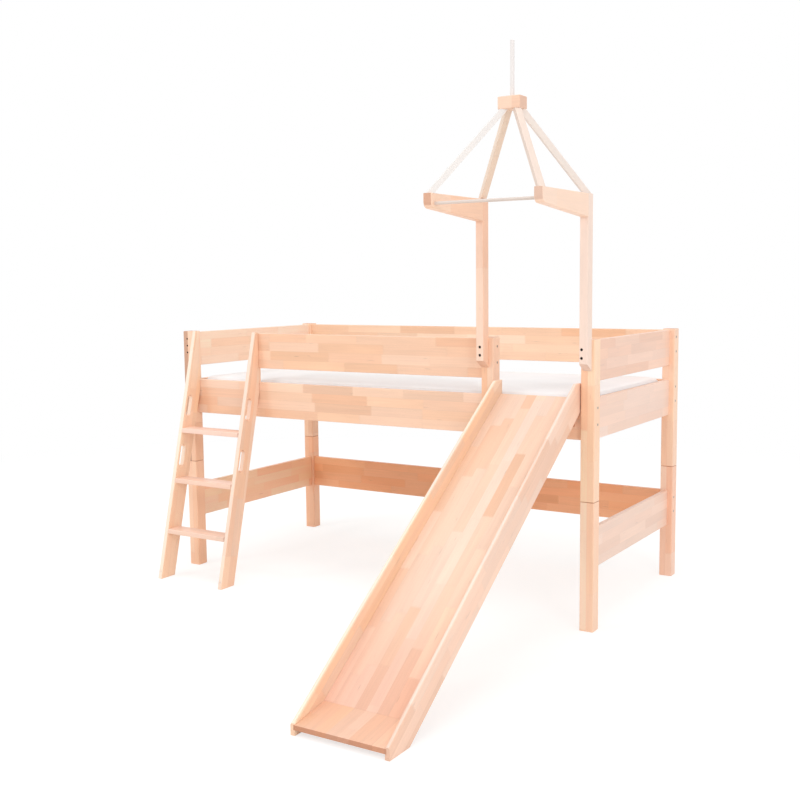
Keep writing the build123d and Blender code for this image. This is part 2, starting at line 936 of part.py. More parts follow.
def make_apex_block():
    apex = block(apex_x - apex_length / 2, apex_x + apex_length / 2, apex_y0, apex_y1, apex_low, apex_top)
    apex = fillet(apex.edges(), apex_round)
    socket = rod((apex_x, apex_y, apex_top - pole_sink), up, pole_sink + overrun, pole_radius + pole_clearance)
    return cut_by(apex - socket, rafter_pin_parts(pin_clearance))


def make_flag_pole():
    low = apex_top - pole_sink
    pole = rod((apex_x, apex_y, low), up, pole_top - low, pole_radius)
    return fillet(pole.faces().sort_by(Axis.Z)[-1].edges(), pole_round)


# Cutting tools that several pieces share
bolt_tools = bolt_holes()
dowel_tools = make_dowels(dowel_length + 2 * dowel_clearance, dowel_radius + dowel_clearance)

# Legs, posts and what joins them
sides = {"left": -1, "right": 1}
depths = {"front": -1, "back": 1}
for y_name, y_side in depths.items():
    for x_name, x_side in sides.items():
        save(f"leg_{y_name}_{x_name}", make_leg(x_side, y_side))
        save(f"post_{y_name}_{x_name}", make_post(x_side, y_side))
save("leg_pins", *[leg_pin(x_side, y_side, 0) for x_side in sides.values() for y_side in depths.values()])
save("bed_bolts", *make_bed_bolts())
save("barrel_nuts", *make_barrel_nuts())
save("board_dowels", *make_dowels(dowel_length, dowel_radius))

# Boards
save("guard_board_back", make_long_board(1, guard_top, -post_inner_x, post_inner_x))
save("guard_board_front", make_long_board(-1, guard_top, strut_x1, slide_post_x0))
rail_tools = make_ladder_studs() + cleat_screw_parts(dowel_clearance) + lap_bolt_parts(dowel_clearance)
save("bed_rail_front", cut_by(make_long_board(-1, rail_top, -post_inner_x, post_inner_x), rail_tools))
save("bed_rail_back", make_long_board(1, rail_top, -post_inner_x, post_inner_x))
save("lower_board_back", make_long_board(1, lower_top, -post_inner_x, post_inner_x))
for x_name, x_side in sides.items():
    save(f"guard_board_{x_name}", make_end_board(x_side, guard_top))
    save(f"bed_rail_{x_name}", make_end_board(x_side, rail_top))
    save(f"lower_board_{x_name}", make_end_board(x_side, lower_top))
save("guard_strut", make_guard_strut())
save("slide_post", make_slide_post())
save("lap_screws", *lap_bolt_parts(0))

# Sleeping surface
for y_name, y_side in depths.items():
    save(f"slat_ledge_{y_name}", make_ledge(y_side))
save("slats", *make_slats())
save("mattress", make_mattress())

# Ladder
save("ladder_studs", *make_ladder_studs())
save("ladder_stringer_left", make_stringer(ladder_x0))
save("ladder_stringer_right", make_stringer(ladder_x1 - stringer_thickness))
for tread_name, top in zip(("lower", "middle", "upper"), tread_tops()):
    save(f"ladder_tread_{tread_name}", make_tread(top))
save("tread_dowels", *tread_dowel_parts(0))

# Slide
slide_left, slide_right = make_slide_sides()
chute, runout = make_panels()
save("slide_side_left", slide_left)
save("slide_side_right", slide_right)
save("slide_chute", chute)
save("slide_runout", runout)
save("slide_battens", *make_battens())
save("chute_cleat", make_chute_cleat())
save("rail_cleat", make_rail_cleat())
save("cleat_screws", *cleat_screw_parts(0))

# Roof frame
for x_name, x in (("left", upright_left_x), ("right", upright_right_x)):
    save(f"turret_upright_{x_name}", make_upright(x))
    save(f"turret_arm_{x_name}", make_arm(x))
save("crossbar", crossbar_rod(0))
for place_name, (foot, head) in rafter_ends().items():
    save(f"rafter_{place_name}", make_rafter(foot, head))
save("apex_block", make_apex_block())
save("flag_pole", make_flag_pole())
save("rafter_pins", *rafter_pin_parts(0))
save("turret_bolts", *make_turret_bolts())
save("turret_inserts", *make_turret_inserts())
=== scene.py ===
"""Looks of a raised child's bed with a ladder, a slide and an open roof frame."""

import math

import bmesh
import bpy
from mathutils import Matrix, Vector
from mathutils.bvhtree import BVHTree


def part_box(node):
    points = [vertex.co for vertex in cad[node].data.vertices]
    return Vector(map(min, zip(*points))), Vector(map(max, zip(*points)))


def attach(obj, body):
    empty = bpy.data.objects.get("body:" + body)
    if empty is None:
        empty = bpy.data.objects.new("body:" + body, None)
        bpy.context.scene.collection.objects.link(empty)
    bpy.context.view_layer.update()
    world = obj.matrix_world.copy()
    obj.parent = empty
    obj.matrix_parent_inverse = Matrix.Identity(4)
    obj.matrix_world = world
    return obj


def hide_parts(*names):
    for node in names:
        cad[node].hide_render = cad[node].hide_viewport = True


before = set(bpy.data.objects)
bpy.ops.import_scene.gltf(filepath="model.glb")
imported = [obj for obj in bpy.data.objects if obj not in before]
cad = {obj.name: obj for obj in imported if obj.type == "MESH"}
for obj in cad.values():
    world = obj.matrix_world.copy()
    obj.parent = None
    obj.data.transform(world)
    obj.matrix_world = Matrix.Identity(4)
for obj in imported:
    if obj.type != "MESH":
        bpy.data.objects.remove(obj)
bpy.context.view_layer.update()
MM = 0.001
X_AXIS, Y_AXIS, Z_AXIS = Vector((1, 0, 0)), Vector((0, 1, 0)), Vector((0, 0, 1))
QUARTER = math.pi / 2


# Shader nodes

WHITE = (1.0, 1.0, 1.0)

# How nearly a face looks along an axis, between not counted and counted in full
FACING_LIMITS = (0.75, 0.95)


def colour(rgb):
    return (*rgb, 1.0)


class Nodes:
    """Adds nodes to one tree and links them."""

    def __init__(self, tree):
        self.tree = tree

    def add(self, kind, inputs=None, **settings):
        node = self.tree.nodes.new(kind)
        for name, value in settings.items():
            setattr(node, name, value)
        for name, value in (inputs or {}).items():
            self.give(node.inputs[name], value)
        return node

    def give(self, socket, value):
        if isinstance(value, bpy.types.NodeSocket):
            self.tree.links.new(value, socket)
        else:
            socket.default_value = value

    def math(self, operation, *values):
        node = self.add("ShaderNodeMath", operation=operation)
        for socket, value in zip(node.inputs, values):
            self.give(socket, value)
        return node.outputs[0]

    def vector(self, operation, *values):
        node = self.add("ShaderNodeVectorMath", operation=operation)
        for socket, value in zip(node.inputs, values):
            self.give(socket, value)
        return node.outputs["Value" if operation in ("DOT_PRODUCT", "LENGTH") else "Vector"]

    def scale(self, value, factor):
        """Vector or colour times a number."""
        node = self.add("ShaderNodeVectorMath", {0: value, "Scale": factor}, operation="SCALE")
        return node.outputs["Vector"]

    def split(self, value):
        return self.add("ShaderNodeSeparateXYZ", {0: value}).outputs

    def channels(self, value):
        return self.add("ShaderNodeSeparateColor", {0: value}).outputs

    def mix(self, factor, a, b, blend="MIX", clamp=False):
        node = self.add("ShaderNodeMix", data_type="RGBA", blend_type=blend, clamp_result=clamp)
        self.give(node.inputs[0], factor)
        self.give(node.inputs[6], a)
        self.give(node.inputs[7], b)
        return node.outputs[2]

    def fade(self, value, start, end, low=0.0, high=1.0):
        """Smooth step of a value between two limits."""
        node = self.add("ShaderNodeMapRange", interpolation_type="SMOOTHSTEP")
        for socket, number in zip(node.inputs, (value, start, end, low, high)):
            self.give(socket, number)
        return node.outputs[0]

    def ramp(self, factor, stops):
        node = self.add("ShaderNodeValToRGB", {"Fac": factor})
        elements = node.color_ramp.elements
        while len(elements) < len(stops):
            elements.new(0.5)
        for element, (place, tone) in zip(elements, stops):
            element.position = place
            element.color = colour(tone)
        return node.outputs["Color"]

    def noise(self, place, scale=1.0, **inputs):
        return self.add("ShaderNodeTexNoise", {"Vector": place, "Scale": scale, **inputs}).outputs[0]

    def bump(self, height, strength, distance):
        node = self.add("ShaderNodeBump", {"Height": height, "Strength": strength, "Distance": distance})
        return node.outputs[0]

    def facing(self, normal, axis, high=1.0):
        """From zero to a limit as a face turns to look along an axis, either way."""
        turned = self.math("ABSOLUTE", self.vector("DOT_PRODUCT", normal, tuple(axis)))
        return self.fade(turned, *FACING_LIMITS, 0.0, high)


def new_material(name):
    """Material with an empty tree, its Principled shader and its output."""
    material = bpy.data.materials.new(name)
    material.use_nodes = True
    material.node_tree.nodes.clear()
    nodes = Nodes(material.node_tree)
    shader = nodes.add("ShaderNodeBsdfPrincipled")
    surface = nodes.add("ShaderNodeOutputMaterial").inputs["Surface"]
    nodes.give(surface, shader.outputs[0])
    return material, nodes, shader, surface


# Beech, as linear colours

BEECH_TONES = (
    (0.00, (0.983, 0.627, 0.435)),
    (0.20, (0.990, 0.684, 0.514)),
    (0.38, (0.960, 0.588, 0.379)),
    (0.56, (0.990, 0.655, 0.469)),
    (0.72, (0.921, 0.537, 0.339)),
    (0.86, (0.989, 0.644, 0.458)),
    (1.00, (0.881, 0.480, 0.282)),
)
FLECK_TINT = (0.78, 0.62, 0.50)
END_GRAIN_TINT = (0.74, 0.58, 0.50)
END_RING_SHARE = 0.88
# Pale tone that the painted light moves the wood towards
PAINTED_LIGHT_TONE = (0.98, 0.94, 0.90)

# Staves, with fingers at their ends
FINGER_PITCH = 4 * MM
FINGER_LENGTH = 9 * MM
GLUE_LINE = 0.35 * MM
LENGTH_RANDOMNESS = 0.7
ROW_JUMP = 97.0
PATTERN_JUMP = 3.0

# Cells per metre of each pattern, along the grain, across it and through the board
STREAK_CELLS = (5.0, 170.0, 170.0)
GROWTH_CELLS = (2.2, 34.0, 34.0)
CLOUD_CELLS = (3.0, 9.0, 9.0)
GUM_CELLS = (12.0, 110.0, 110.0)
FLECK_CELLS = (230.0, 1500.0, 1500.0)
RINGS_PER_METRE = 130.0

# Limits between which gum streaks, flecks and their number fade in
GUM_LIMITS = (0.68, 0.80)
FLECK_LIMITS = (0.42, 0.15)
FLECK_RARITY = (0.45, 0.60)

# Brightness of the darkest stave, and how far each pattern changes it
STAVE_LIGHT = 0.93
STAVE_SWING = 0.12
STREAK_SWING = 0.14
GROWTH_SWING = 0.12
CLOUD_SWING = 0.16
GUM_DEPTH = 0.20
GLUE_DEPTH = 0.20
FLECK_DEPTH = 0.40

# Oiled surface
OIL_ROUGHNESS = 0.36
STREAK_ROUGHNESS = 0.18
END_ROUGHNESS = 0.20
STREAK_HEIGHT = 0.25
FLECK_HEIGHT = -0.6
GRAIN_BUMP = 0.12 * MM
GRAIN_STRENGTH = 0.5
OIL_IOR = 1.5
OIL_COAT = 0.35
OIL_COAT_ROUGHNESS = 0.32


def beech_group():
    """Node group that paints staves, finger joints, fine streaks and flecks.

    Its place is in metres, along the grain, across it and through the board."""
    group = bpy.data.node_groups.new("beech_staves", "ShaderNodeTree")
    for name, kind in (("Place", "Vector"), ("Width", "Float"), ("Length", "Float"),
                       ("Seed", "Float"), ("End", "Float")):
        group.interface.new_socket(name, in_out="INPUT", socket_type=f"NodeSocket{kind}")
    for name, kind in (("Color", "Color"), ("Roughness", "Float"), ("Height", "Float")):
        group.interface.new_socket(name, in_out="OUTPUT", socket_type=f"NodeSocket{kind}")
    nodes = Nodes(group)
    source = nodes.add("NodeGroupInput").outputs
    sink = nodes.add("NodeGroupOutput").inputs

    place = nodes.split(source["Place"])
    along, across = place[0], place[1]
    rows = nodes.math("DIVIDE", across, source["Width"])
    row_seed = nodes.math("ADD", nodes.math("FLOOR", rows), source["Seed"])
    row_random = nodes.add("ShaderNodeTexWhiteNoise", {"W": row_seed}, noise_dimensions="1D").outputs["Value"]

    # The ends of the staves interlock in fingers
    zigzag = nodes.math("PINGPONG", across, FINGER_PITCH / 2)
    zigzag = nodes.math("MULTIPLY", zigzag, 2 * FINGER_LENGTH / FINGER_PITCH)
    shifted = nodes.math("DIVIDE", nodes.math("ADD", along, zigzag), source["Length"])
    line = nodes.math("ADD", shifted, nodes.math("MULTIPLY", row_random, ROW_JUMP))

    def staves(feature):
        inputs = {"W": line, "Scale": 1.0, "Randomness": LENGTH_RANDOMNESS}
        return nodes.add("ShaderNodeTexVoronoi", inputs, voronoi_dimensions="1D", feature=feature).outputs

    random = nodes.channels(staves("F1")["Color"])
    from_joint = nodes.math("MULTIPLY", staves("DISTANCE_TO_EDGE")["Distance"], source["Length"])

    # Patterns run along the grain and change from stave to stave
    jump = nodes.add("ShaderNodeCombineXYZ", {0: random[0], 1: random[1], 2: random[2]}).outputs[0]
    jumped = nodes.vector("ADD", source["Place"], nodes.scale(jump, PATTERN_JUMP))

    def pattern(cells, **inputs):
        return nodes.noise(nodes.vector("MULTIPLY", jumped, cells), **inputs)

    streak = pattern(STREAK_CELLS, Detail=4.0, Roughness=0.6)
    growth = pattern(GROWTH_CELLS, Detail=1.0, Distortion=1.5)
    cloud = pattern(CLOUD_CELLS, Detail=2.0)
    gum = nodes.fade(pattern(GUM_CELLS, Detail=2.0), *GUM_LIMITS)

    # Short dark flecks of the rays
    dots = nodes.vector("MULTIPLY", jumped, FLECK_CELLS)
    cells = nodes.add("ShaderNodeTexVoronoi", {"Vector": dots, "Scale": 1.0}, feature="F1").outputs
    few = nodes.fade(nodes.channels(cells["Color"])[0], *FLECK_RARITY)
    fleck = nodes.math("MULTIPLY", nodes.fade(cells["Distance"], *FLECK_LIMITS), few)

    # Thin lines where the staves meet
    side = nodes.math("FRACT", rows)
    side = nodes.math("MINIMUM", side, nodes.math("SUBTRACT", 1.0, side))
    side_line = nodes.fade(nodes.math("MULTIPLY", side, source["Width"]), GLUE_LINE, 0.0)
    glue = nodes.math("MAXIMUM", side_line, nodes.fade(from_joint, 2 * GLUE_LINE, 0.0))

    light = nodes.math("MULTIPLY_ADD", random[1], STAVE_SWING, STAVE_LIGHT)
    for change, swing in ((streak, STREAK_SWING), (growth, GROWTH_SWING), (cloud, CLOUD_SWING)):
        light = nodes.math("ADD", light, nodes.math("MULTIPLY_ADD", change, swing, -swing / 2))
    for mark, depth in ((gum, GUM_DEPTH), (glue, GLUE_DEPTH)):
        light = nodes.math("SUBTRACT", light, nodes.math("MULTIPLY", mark, depth))
    lit = nodes.scale(nodes.ramp(random[0], BEECH_TONES), light)
    painted = nodes.mix(nodes.math("MULTIPLY", fleck, FLECK_DEPTH), lit, colour(FLECK_TINT), "MULTIPLY")

    # End grain is darker, with the growth lines as arcs
    square = nodes.vector("MULTIPLY", jumped, (0.0, 1.0, 1.0))
    rings = nodes.add("ShaderNodeTexWave", {"Vector": square, "Scale": RINGS_PER_METRE, "Distortion": 3.0,
                                            "Detail": 2.0, "Detail Scale": 1.5},
                      wave_type="RINGS", rings_direction="X").outputs["Fac"]
    dark_rings = [c * END_RING_SHARE for c in END_GRAIN_TINT]
    end_tint = nodes.mix(rings, colour(END_GRAIN_TINT), colour(dark_rings))
    ended = nodes.mix(source["End"], colour(WHITE), end_tint)
    nodes.give(sink["Color"], nodes.mix(1.0, painted, ended, "MULTIPLY"))

    rough = nodes.math("MULTIPLY_ADD", streak, STREAK_ROUGHNESS, OIL_ROUGHNESS)
    rough_end = nodes.math("MULTIPLY", source["End"], END_ROUGHNESS)
    nodes.give(sink["Roughness"], nodes.math("ADD", rough, rough_end))
    fleck_height = nodes.math("MULTIPLY", fleck, FLECK_HEIGHT)
    height = nodes.math("MULTIPLY_ADD", streak, STREAK_HEIGHT, fleck_height)
    nodes.give(sink["Height"], nodes.math("SUBTRACT", height, glue))
    return group


BEECH = beech_group()


# Factors that turn the plain tones into a piece's own: partly its own tone, partly painted light and shade
# where a piece is lit more or less, as on the darker board under the bed
TINTS_AND_PAINTED_LIGHT = {
    "leg_back_left": (1.04, 0.95, 0.90), "leg_back_right": (1.05, 1.10, 1.25),
    "leg_front_left": (1.06, 1.07, 1.10), "leg_front_right": (1.08, 1.19, 1.31),
    "post_back_right": (1.04, 1.06, 1.09), "post_front_right": (1.10, 1.15, 1.19),
    "slide_post": (1.03, 1.08, 1.12),
    "guard_board_front": (0.97, 0.97, 0.98), "guard_board_back": (0.99, 1.05, 1.07),
    "guard_board_left": (1.07, 1.20, 1.32), "guard_board_right": (0.97, 0.94, 0.98),
    "bed_rail_front": (0.96, 1.00, 1.05), "bed_rail_right": (0.97, 0.96, 1.01),
    "lower_board_back": (1.01, 0.79, 0.62), "lower_board_left": (1.12, 1.08, 1.08),
    "lower_board_right": (0.97, 0.97, 1.02),
    "slide_chute": (0.95, 1.05, 1.16), "slide_runout": (0.90, 0.85, 0.86),
    "slide_side_left": (1.01, 1.12, 1.18), "slide_side_right": (0.97, 0.97, 1.01),
    "ladder_stringer_left": (1.04, 1.09, 1.09),
    "ladder_tread_lower": (0.94, 0.98, 1.06), "ladder_tread_middle": (0.95, 0.95, 1.02),
    "ladder_tread_upper": (0.95, 0.98, 1.10),
    "turret_upright_left": (1.00, 0.96, 0.95), "turret_upright_right": (0.99, 1.03, 1.09),
    "turret_arm_left": (1.04, 1.06, 1.08), "flag_pole": (0.85, 0.92, 1.01), "crossbar": (0.74, 0.81, 0.88),
    "rafter_front_left": (0.91, 1.00, 1.09), "rafter_front_right": (0.84, 0.88, 0.92),
    "rafter_rear_left": (0.90, 1.01, 1.06), "rafter_rear_right": (0.85, 0.95, 1.04),
}

# Painted light: how far a piece, or only its narrow edges, goes towards the pale tone, as a painted highlight
# where strong light and reflections pale the wood
PAINTED_LIGHT_SHARES = {
    "bed_rail_right": 0.32, "guard_board_right": 0.18, "lower_board_right": 0.28, "slide_side_right": 0.15,
    "ladder_stringer_left": 0.05, "ladder_stringer_right": 0.08,
    "ladder_tread_lower": 0.15, "ladder_tread_middle": 0.12, "ladder_tread_upper": 0.18,
    "turret_upright_left": 0.18, "turret_upright_right": 0.42,
    "turret_arm_left": 0.06, "turret_arm_right": 0.28,
    "rafter_front_left": 0.78, "rafter_front_right": 0.40,
    "rafter_rear_left": 0.30, "rafter_rear_right": 0.55,
    "crossbar": 0.50, "apex_block": 0.25, "flag_pole": 0.75,
}
PAINTED_EDGE_LIGHT_SHARES = {
    "ladder_stringer_left": 0.40, "ladder_stringer_right": 0.35, "turret_upright_left": 0.20,
    "slide_side_left": 0.28, "slide_side_right": 0.20,
}

# Fainter end grain, and painted shade over the half of a post left of its middle, where the ladder shades it
END_SHARES = {"apex_block": 0.45}
PAINTED_SHADE_HALVES = {"post_front_left": (0.64, 0.57, 0.55)}

# Painted shade: the chute darkens a little from its middle to its toe, where less light reaches it
CHUTE_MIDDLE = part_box("slide_chute")[0].y + 450 * MM
CHUTE_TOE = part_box("slide_chute")[0].y + 50 * MM
PAINTED_TOE_SHADE = (0.96, 0.85, 0.85)

# Painted shade of a groove where a post stands on its leg
SEAM_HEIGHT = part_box("leg_front_left")[1].z
SEAM_REACH = 2.2 * MM
PAINTED_SEAM_SHADE = (0.62, 0.48, 0.40)

# Row of accessory holes below the top of one post, with painted shade inside them
HOLED_POST = "post_front_left"
HOLE_COUNT = 3
HOLE_RADIUS = 4 * MM
HOLE_EDGE = 0.6 * MM
HOLE_INSET = 24.5 * MM
HOLE_DROP = 36.5 * MM
HOLE_PITCH = 32.5 * MM
PAINTED_HOLE_SHADE = (0.07, 0.035, 0.02)


def add_painted_shade(name, nodes, place, across, shade):
    """Adds the painted shade that only some of the pieces have to their colour."""
    # Painted shade over the half of the post left of its middle
    if name in PAINTED_SHADE_HALVES:
        shade = nodes.mix(nodes.math("LESS_THAN", across, 0.0), shade, colour(PAINTED_SHADE_HALVES[name]), "MULTIPLY")
    # Painted shade, darker from the chute's middle to its toe
    if name == "slide_chute":
        near_toe = nodes.fade(nodes.split(place)[1], CHUTE_MIDDLE, CHUTE_TOE)
        shade = nodes.mix(near_toe, shade, colour(PAINTED_TOE_SHADE), "MULTIPLY")
    # Painted shade in a thin band where a post meets its leg
    if name.startswith(("leg_", "post_")):
        away = nodes.math("ABSOLUTE", nodes.math("SUBTRACT", nodes.split(place)[2], SEAM_HEIGHT))
        painted_groove = nodes.fade(away, SEAM_REACH, SEAM_REACH / 2)
        shade = nodes.mix(painted_groove, shade, colour(PAINTED_SEAM_SHADE), "MULTIPLY")
    # Painted shade inside the accessory holes
    if name == HOLED_POST:
        low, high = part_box(name)
        for i in range(HOLE_COUNT):
            middle = (low.x + HOLE_INSET, 0, high.z - HOLE_DROP - i * HOLE_PITCH)
            away = nodes.vector("MULTIPLY", nodes.vector("SUBTRACT", place, middle), (1, 0, 1))
            inside = nodes.fade(nodes.vector("LENGTH", away), HOLE_RADIUS + HOLE_EDGE, HOLE_RADIUS)
            shade = nodes.mix(inside, shade, colour(PAINTED_HOLE_SHADE))
    return shade


def beech(name, along, across, origin, width, length, seed):
    """Oiled beech with its staves along one direction and side by side along another."""
    material, nodes, shader, _ = new_material(f"beech_{name}")
    source = nodes.add("ShaderNodeTexCoord").outputs
    place, normal = source["Object"], source["Normal"]
    local = nodes.vector("SUBTRACT", place, tuple(origin))
    axes = (along, across, along.cross(across))
    parts = {i: nodes.vector("DOT_PRODUCT", local, tuple(axis)) for i, axis in enumerate(axes)}
    wood = nodes.add("ShaderNodeGroup", node_tree=BEECH)
    nodes.give(wood.inputs["Place"], nodes.add("ShaderNodeCombineXYZ", parts).outputs[0])
    nodes.give(wood.inputs["End"], nodes.facing(normal, along, END_SHARES.get(name, 1.0)))
    for socket, value in (("Width", width), ("Length", length), ("Seed", seed)):
        wood.inputs[socket].default_value = value
    # Painted light: narrow edges and some whole pieces go towards the pale tone
    edge = nodes.facing(normal, across)
    painted_light = nodes.math("MULTIPLY_ADD", edge, PAINTED_EDGE_LIGHT_SHARES.get(name, 0.0), PAINTED_LIGHT_SHARES.get(name, 0.0))
    shade = nodes.mix(painted_light, wood.outputs["Color"], colour(PAINTED_LIGHT_TONE))
    # Each piece's tint, partly its own tone and partly painted light and shade
    shade = nodes.mix(1.0, shade, colour(TINTS_AND_PAINTED_LIGHT.get(name, WHITE)), "MULTIPLY", clamp=True)
    nodes.give(shader.inputs["Base Color"], add_painted_shade(name, nodes, place, parts[1], shade))
    nodes.give(shader.inputs["Roughness"], wood.outputs["Roughness"])
    nodes.give(shader.inputs["Normal"], nodes.bump(wood.outputs["Height"], GRAIN_STRENGTH, GRAIN_BUMP))
    shader.inputs["IOR"].default_value = OIL_IOR
    shader.inputs["Coat Weight"].default_value = OIL_COAT
    shader.inputs["Coat Roughness"].default_value = OIL_COAT_ROUGHNESS
    return material


# Width and length of the staves of boards, of posts and of pieces cut from one stave
BOARD_STAVES = (41 * MM, 300 * MM)
POST_STAVES = (30 * MM, 420 * MM)
ONE_STAVE = (120 * MM, 900 * MM)
STAVE_OVERHANG = 1 * MM
SLAT_COUNT = 14
SLAT_WIDTH = 68 * MM
SEED_START = 3.0
SEED_STEP = 7.0

# Part of a slanted node's extent whose vertices make its end
END_REACH = 0.03


def dress(name, material):
    """Gives a CAD node its finish."""
    mesh = cad[name].data
    mesh.materials.clear()
    mesh.materials.append(material)


def dress_beech(name, along, across, staves=ONE_STAVE):
    """Lays the staves so that no face of the node lies on a glue line."""
    low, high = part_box(name)
    width, length = staves
    middle = (low + high) / 2
    if staves == POST_STAVES:
        origin = middle
    elif staves == ONE_STAVE:
        origin = low + ((middle - low).dot(across) - width / 2) * across
    else:
        origin = low - STAVE_OVERHANG * across
    seed = SEED_STEP * sorted(cad).index(name) + SEED_START
    dress(name, beech(name, along, across, origin, width, length, seed))


def slope_of(name, axis):
    """Unit direction of a slanted node, from its low end to its high end."""
    low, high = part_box(name)
    reach = END_REACH * (high[axis] - low[axis])
    places = [vertex.co for vertex in cad[name].data.vertices]
    first = [place for place in places if place[axis] <= low[axis] + reach]
    last = [place for place in places if place[axis] >= high[axis] - reach]
    return (sum(last, Vector()) / len(last) - sum(first, Vector()) / len(first)).normalized()


def finish_frame():
    for y_name in ("front", "back"):
        for x_name in ("left", "right"):
            for part in ("leg", "post"):
                dress_beech(f"{part}_{y_name}_{x_name}", Z_AXIS, X_AXIS, POST_STAVES)
    dress_beech("slide_post", Z_AXIS, X_AXIS, POST_STAVES)
    for name in ("guard_board_back", "guard_board_front", "bed_rail_front", "bed_rail_back",
                 "lower_board_back"):
        dress_beech(name, X_AXIS, Z_AXIS, BOARD_STAVES)
    for x_name in ("left", "right"):
        for board in ("guard_board", "bed_rail", "lower_board"):
            dress_beech(f"{board}_{x_name}", Y_AXIS, Z_AXIS, BOARD_STAVES)
    for name in ("slat_ledge_front", "slat_ledge_back", "rail_cleat", "tread_dowels"):
        dress_beech(name, X_AXIS, Z_AXIS)
    for name in ("guard_strut", "leg_pins"):
        dress_beech(name, Z_AXIS, X_AXIS)
    for name in ("board_dowels", "ladder_studs"):
        dress_beech(name, Y_AXIS, X_AXIS)
    low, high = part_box("slats")
    pitch = (high.x - low.x - SLAT_WIDTH) / (SLAT_COUNT - 1)
    dress_beech("slats", Y_AXIS, X_AXIS, (pitch, ONE_STAVE[1]))


def finish_ladder():
    lean = slope_of("ladder_stringer_left", 2)
    across = X_AXIS.cross(lean).normalized()
    for side in ("left", "right"):
        dress_beech(f"ladder_stringer_{side}", lean, across, BOARD_STAVES)
    for step in ("lower", "middle", "upper"):
        dress_beech(f"ladder_tread_{step}", X_AXIS, Y_AXIS, BOARD_STAVES)


def finish_slide():
    slope = slope_of("slide_chute", 1)
    up = X_AXIS.cross(slope).normalized()
    dress_beech("slide_chute", slope, X_AXIS, BOARD_STAVES)
    dress_beech("slide_runout", slope_of("slide_runout", 1), X_AXIS, BOARD_STAVES)
    for side in ("left", "right"):
        dress_beech(f"slide_side_{side}", slope, up, BOARD_STAVES)
    for name in ("slide_battens", "chute_cleat"):
        dress_beech(name, X_AXIS, slope)


def finish_roof():
    for side in ("left", "right"):
        dress_beech(f"turret_upright_{side}", Z_AXIS, Y_AXIS)
        dress_beech(f"turret_arm_{side}", Y_AXIS, Z_AXIS)
        for end in ("front", "rear"):
            name = f"rafter_{end}_{side}"
            slope = slope_of(name, 2)
            dress_beech(name, slope, slope.cross(Z_AXIS).normalized())
    dress_beech("crossbar", X_AXIS, Z_AXIS)
    dress_beech("apex_block", X_AXIS, Y_AXIS)
    dress_beech("flag_pole", Z_AXIS, X_AXIS)


# Metal

# Bright colour, worn colour, middle roughness and the nodes made of it
METALS = {
    "zinc_steel": ((0.42, 0.38, 0.35), (0.55, 0.51, 0.48), 0.36,
                   ("bed_bolts", "barrel_nuts", "lap_screws", "cleat_screws", "rafter_pins")),
    "dark_steel": ((0.035, 0.03, 0.03), (0.08, 0.075, 0.07), 0.42, ("turret_bolts",)),
    "insert_brass": ((0.72, 0.50, 0.22), (0.80, 0.60, 0.32), 0.36, ("turret_inserts",)),
}
SCRATCHES_PER_METRE = 900.0
PATCHES_PER_METRE = 180.0
PATCH_LIMITS = (0.45, 0.75)
SCRATCH_ROUGHNESS = 0.25
SCRATCH_SMOOTHING = 0.12
SCRATCH_STRENGTH = 0.4
SCRATCH_BUMP = 0.04 * MM


def metal(name, base, worn, rough):
    """Turned metal with fine scratches and a little wear."""
    material, nodes, shader, _ = new_material(name)
    place = nodes.add("ShaderNodeTexCoord").outputs["Object"]
    scratch = nodes.noise(place, SCRATCHES_PER_METRE, Detail=5.0)
    patch = nodes.noise(place, PATCHES_PER_METRE, Detail=2.0)
    tone = nodes.mix(nodes.fade(patch, *PATCH_LIMITS), colour(base), colour(worn))
    roughness = nodes.math("MULTIPLY_ADD", scratch, SCRATCH_ROUGHNESS, rough - SCRATCH_SMOOTHING)
    nodes.give(shader.inputs["Base Color"], tone)
    nodes.give(shader.inputs["Roughness"], roughness)
    nodes.give(shader.inputs["Normal"], nodes.bump(scratch, SCRATCH_STRENGTH, SCRATCH_BUMP))
    shader.inputs["Metallic"].default_value = 1.0
    return material


def finish_metal():
    for slot, (base, worn, rough, names) in METALS.items():
        material = metal(slot, base, worn, rough)
        for name in names:
            dress(name, material)


# Mattress

COVER_TONES = ((0.90, 0.91, 0.94), (0.925, 0.935, 0.96))
THREAD_TONE = (0.78, 0.78, 0.82)
THREAD_DEPTH = 0.08
MOTTLES_PER_METRE = 9.0
MOTTLE_LIMITS = (0.3, 0.7)
WEAVE_BANDS = 420.0
WEAVE_ROUGHNESS = 0.08
COVER_ROUGHNESS = 0.82
WEAVE_STRENGTH = 0.35
WEAVE_BUMP = 0.25 * MM
COVER_SHEEN = 0.15

CORNER_STEPS = 8
COVER_STEP = 16 * MM
CORNER_RADIUS = 30 * MM
EDGE_ROUND = 17 * MM
EDGE_STEPS = 6
SIDE_STEPS = 8
SIDE_TUCK = 3 * MM
CROWN = 9 * MM
BOTTOM_INSETS = [inset * MM for inset in (360, 240, 140, 70, 35)]
TOP_INSETS = [inset * MM for inset in (30, 50, 80, 120, 180, 250, 320, 400)]

SWELL = 5 * MM
VOXEL = 11 * MM
PRESSURE = 4.0
CLOTH_FRAMES = 20
SMOOTH_STEPS = 2
SMOOTH_FACTOR = 0.5

PIPING_RADIUS = 2.6 * MM
PIPING_SIDES = 8
PIPING_TOP_SHARE = 0.85
PIPING_LOW_SHARE = 0.3


